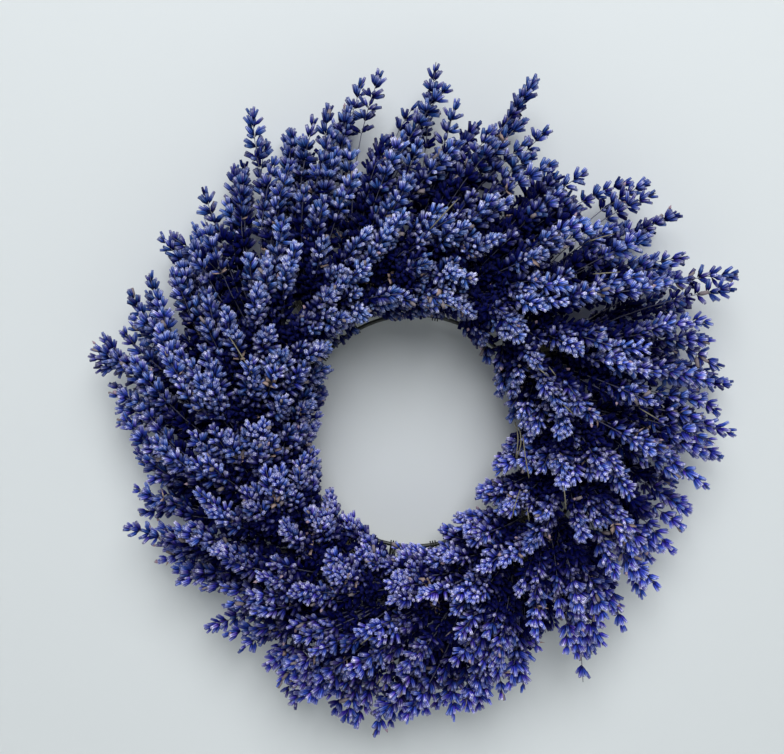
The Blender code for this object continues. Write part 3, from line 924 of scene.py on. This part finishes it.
def whorls(lines, skin, group, lone, heads, draw):
    """Calyces, bracts and petals of every spike.

    Whorls step back from the tip, closer on followers, and the lowest may sit apart. A calyx
    opens from the stem, more so lower down. Nearer to the bunch's skin it has more sides.
    """
    count, levels = len(lines), heads.whorls
    level = np.arange(levels)
    step = heads.spacing * draw.uniform(0.86, 1.2, (count, 1))
    step = step * np.where(group < len(LEADERS), 1, 0.86)[:, None]
    back = 0.75 * heads.calyx_length + step * (level - 0.2 * (level > 0)) * (0.94 + 0.03 * level)
    lowest = (level == levels - 1) * draw.choice([0, 1, 1.6], (count, 1)) * heads.spacing
    at = line_lengths(lines)[:, None] - back - lowest
    middle, forward = along(lines, np.maximum(at, 0.001 * MM))
    away = neck_distance(middle)
    inward = out_from(middle) < NECK_RADIUS + 9 * MM
    there = (at > CLEAR) & (away > np.where(inward, *NECK_CLEAR))
    there &= ~lone[:, None] | (level % 2 == 1) | (level > 3)
    depth = away / skin[:, None]
    across = unit(np.cross(forward, (0.3, -0.7, 0.45)))
    third = np.cross(forward, across)
    tuft = np.linspace(-TUFT, TUFT, MEMBERS // 2)
    start = draw.uniform(0, 2 * math.pi, (count, 1, 1)) + level[:, None] * math.pi / 2
    shape = (count, levels, MEMBERS)
    azimuth = start + np.concatenate([tuft, tuft + math.pi]) + draw.normal(0, 0.24, shape)
    open_by = np.radians(np.interp(level, *OPENING))[:, None] * draw.uniform(0.55, 1.45, shape)
    open_by = open_by * draw.uniform(0.8, 1.15, (count, 1, 1))
    rise = np.tile(RISES, 2) * MM + draw.uniform(-0.9, 0.9, shape) * MM
    full = np.where(level == 0, 0.62, 0.96)[:, None]
    shown = (draw.random(shape) < full) & there[..., None]
    apart = draw.spawn(1)[0]
    spent = (apart.random((count, levels)) < SPENT) & there & (level > 0)
    shown &= ~spent[..., None] | (apart.random(shape) < SPENT_KEEPS)
    faded = apart.random(shape) < FADED
    fat = np.interp(level, (0, 1, 2, levels - 1), (0.82, 0.98, 1.04, 0.96))[:, None]
    size = fat * draw.uniform(0.84, 1.14, shape)

    middle, forward, across, third = (way[:, :, None] for way in (middle, forward, across, third))
    azimuth, open_by = azimuth[..., None], open_by[..., None]
    around = across * np.cos(azimuth) + third * np.sin(azimuth)
    axis = forward * np.cos(open_by) + around * np.sin(open_by)
    side = unit(np.cross(axis, forward))
    foot = middle + around * 0.35 * MM + forward * rise[..., None]
    light = calyx_tones_with_painted_shade(middle[:, :, 0], depth, group, draw)
    rank = sum(depth <= edge for edge in SIDE_DEPTHS)[..., None]
    long_by, wide_by = heads.calyx_length * size, heads.calyx_width * size

    shapes = []
    for number, template in enumerate(CALYCES):
        some = shown & ~faded & (rank == number)
        wide = (wide_by[some] * draw.uniform(0.9, 1.1, some.sum()))[:, None]
        tall = long_by[some][:, None]
        skin, faces, spot = placed(template, foot[some], axis[some], side[some], wide, wide, tall)
        # The column carries each calyx's tone, painted shade included.
        column = np.floor(np.clip(light[some], 0, 0.999) * COLUMNS)[:, None, None]
        left = (column + 0.04 + 0.92 * spot[None, ..., 0]) / COLUMNS
        up = np.broadcast_to(in_band(CALYX_BAND, spot[..., 1]), left.shape)
        shapes.append((skin, faces, np.stack([left, up], axis=-1), 0))
    some = shown & faded & (rank < 2)
    wide, tall = wide_by[some][:, None], long_by[some][:, None]
    skin, faces, spot = placed(CALYCES[1], foot[some], axis[some], side[some], wide, wide, tall)
    shapes.append((skin, faces, band_map(spot, BRACT_BAND, apart, len(skin)), 5))
    shapes.append(bracts(middle, forward, around[:, :, 1::2], there, spent, draw))
    shapes.append(petals(foot, axis, side, shown, long_by, draw))
    return shapes


def bracts(middle, forward, around, there, spent, draw):
    """Papery scales: flat spindles, a few here and there, and four under a spent whorl."""
    shape = around.shape[:3]
    open_by = np.radians(draw.uniform(45, 75, shape))[..., None]
    axis = forward * np.cos(open_by) + around * np.sin(open_by)
    side = unit(np.cross(axis, forward))
    foot = middle + around * 0.2 * MM - forward * 0.6 * MM
    some = ((draw.random(shape) < WITH_BRACT) | spent[..., None]) & there[..., None]
    size = draw.uniform(0.7, 1.2, some.sum())[:, None]
    wide, thick, tall = BRACT
    skin, faces, spot = placed(
        SPINDLE, foot[some], axis[some], side[some], wide * size, thick, tall * size
    )
    return skin, faces, band_map(spot, BRACT_BAND, draw, len(skin)), 2


def petals(foot, axis, side, shown, long_by, draw):
    """Withered petals: short spindles that stand out of a calyx's mouth."""
    some = shown & (draw.random(shown.shape) < WITH_PETALS)
    mouth = foot[some] + axis[some] * 0.86 * long_by[some][:, None]
    skin, faces, spot = placed(SPINDLE, mouth, axis[some], side[some], *PETAL)
    return skin, faces, band_map(spot, PETAL_BAND, draw, len(skin)), 3


class WREATH_OT_flower_heads(bpy.types.Operator):
    """Every bunch's fan of flower spikes, with calyces, bracts, petals, their stems and bare straws"""

    bl_idname = "wreath.flower_heads"
    bl_label = "Flower heads"

    def execute(self, context):
        heads, stems = settings("heads"), settings("stems")
        # Stems that turn dusky near the flowers, brown scales, dull pink petals, bleached straws and
        # grey brown calyces, all with fine fibres along them.
        shared = [
            strand_finish("flower_stem", stems.colour, stems.shade, 0.7, 30, heads.stalk),
            strand_finish("papery_bract", heads.bract, linear("#75625A"), 0.8, 12),
            strand_finish("withered_petal", heads.petal, linear("#6E5478"), 0.75, 12),
            strand_finish("bare_straw", heads.straw, stems.shade, 0.7, 30),
            strand_finish("faded_calyx", heads.faded, linear("#5A5258"), 0.8, 12),
        ]
        strays, straws = sprig_lines(), straw_lines()
        for index in range(BUNCHES):
            finishes = [calyx_finish(index), *shared]
            flower_bunch(index, heads, strays.get(index, []), straws.get(index, []), finishes)
        return {"FINISHED"}


def add_plane(name, low, high, colour):
    """A rectangle between two opposite corners, level from side to side."""
    (left, front, under), (right, back, top) = low, high
    corners = ((left, front, under), (right, front, under), (right, back, top), (left, back, top))
    mesh = bpy.data.meshes.new(name)
    mesh.from_pydata(corners, [], [(0, 1, 2, 3)])
    mesh.materials.append(flat_paint(f"flat_{name}_paint", colour))
    add_object(name, mesh)


def flat_paint(name, colour):
    """Flat paint seen from its painted side only, so that the wreath also shows from behind."""
    made, tree, shader = new_material(name, base_color=(*colour, 1), roughness=0.9)
    face = add_node(tree, "NewGeometry").outputs["Backfacing"]
    shadow = add_node(tree, "LightPath").outputs["Is Shadow Ray"]
    hidden = add_node(tree, "Math", {0: face, 1: shadow}, operation="MAXIMUM")
    mixed = add_node(tree, "MixShader", {0: hidden, 1: shader, 2: add_node(tree, "BsdfTransparent")})
    tree.links.new(mixed.outputs[0], tree.nodes["Material Output"].inputs["Surface"])
    return made


def aim(obj, place, forward):
    obj.location = place
    obj.rotation_euler = forward.to_track_quat("-Z", "Y").to_euler()


def add_lamp(name, place, strength, size):
    light = bpy.data.lights.new(name, "AREA")
    light.shape = "DISK"
    light.size = size
    light.energy = strength
    aim(add_object(name, light), place, Vector((0, 0, CENTRE_Z)) - Vector(place))


def add_camera(context):
    eye, _, _, forward = camera_axes()
    lens = bpy.data.cameras.new("camera")
    lens.lens = LENS
    lens.sensor_width = SENSOR
    lens.clip_start = 0.01
    obj = add_object("camera", lens)
    aim(obj, eye, forward)
    context.scene.camera = obj


class WREATH_OT_stage(bpy.types.Operator):
    """The plain wall and floor, the soft light and the camera"""

    bl_idname = "wreath.stage"
    bl_label = "Stage"

    HALF_ROOM = 3.0
    WALL_TOP = 2.0
    FLOOR_DROP = 0.62  # from the wreath's middle
    SKY_PLACE, SKY_SIZE = (0.06, -1.42, 0.93), 1.3
    REAR_PLACE, REAR_SIZE, REAR_POWER = (0.0, 1.3, 0.5), 1.5, 22.0  # for views of the back

    def execute(self, context):
        stage = settings("stage")
        far, low = self.HALF_ROOM, CENTRE_Z - self.FLOOR_DROP
        add_plane("wall", (-far, WALL_Y, low), (far, WALL_Y, self.WALL_TOP), stage.wall)
        add_plane("floor", (-far, -far, low), (far, far, low), stage.floor)
        add_lamp("soft_sky", self.SKY_PLACE, stage.sky, self.SKY_SIZE)
        add_lamp("behind", self.REAR_PLACE, self.REAR_POWER, self.REAR_SIZE)
        world = bpy.data.worlds.new("room")
        context.scene.world = world
        world.use_nodes = True
        light = world.node_tree.nodes["Background"].inputs
        light["Color"].default_value = (*linear("#E6EEF6"), 1)
        light["Strength"].default_value = stage.around
        add_camera(context)
        context.scene.view_settings.view_transform = "Standard"
        return {"FINISHED"}


class WREATH_PT_panel(bpy.types.Panel):
    """Lists the wreath's pieces and their settings"""

    bl_idname = "WREATH_PT_panel"
    bl_label = "Dried lavender wreath"
    bl_space_type = "VIEW_3D"
    bl_region_type = "UI"
    bl_category = "Wreath"

    def draw(self, context):
        for group, kind in SETTINGS:
            box = self.layout.box()
            for field in kind.__annotations__:
                box.prop(getattr(context.scene, "wreath_" + group), field)
        for operator in OPERATORS:
            self.layout.operator(operator.bl_idname)


SETTINGS = (
    ("wires", WireSettings), ("stems", StemSettings), ("heads", HeadSettings), ("stage", StageSettings),
)
OPERATORS = (
    WREATH_OT_wire_frame, WREATH_OT_binding_wire, WREATH_OT_stems, WREATH_OT_flower_heads, WREATH_OT_stage,
)


def register():
    for name, kind in SETTINGS:
        bpy.utils.register_class(kind)
        setattr(bpy.types.Scene, "wreath_" + name, PointerProperty(type=kind))
    for kind in OPERATORS:
        bpy.utils.register_class(kind)
    bpy.utils.register_class(WREATH_PT_panel)


def unregister():
    bpy.utils.unregister_class(WREATH_PT_panel)
    for kind in reversed(OPERATORS):
        bpy.utils.unregister_class(kind)
    for name, kind in reversed(SETTINGS):
        delattr(bpy.types.Scene, "wreath_" + name)
        bpy.utils.unregister_class(kind)


def main():
    register()
    for operator in OPERATORS:
        group, name = operator.bl_idname.split(".")
        getattr(getattr(bpy.ops, group), name)()


if __name__ == "__main__":
    main()
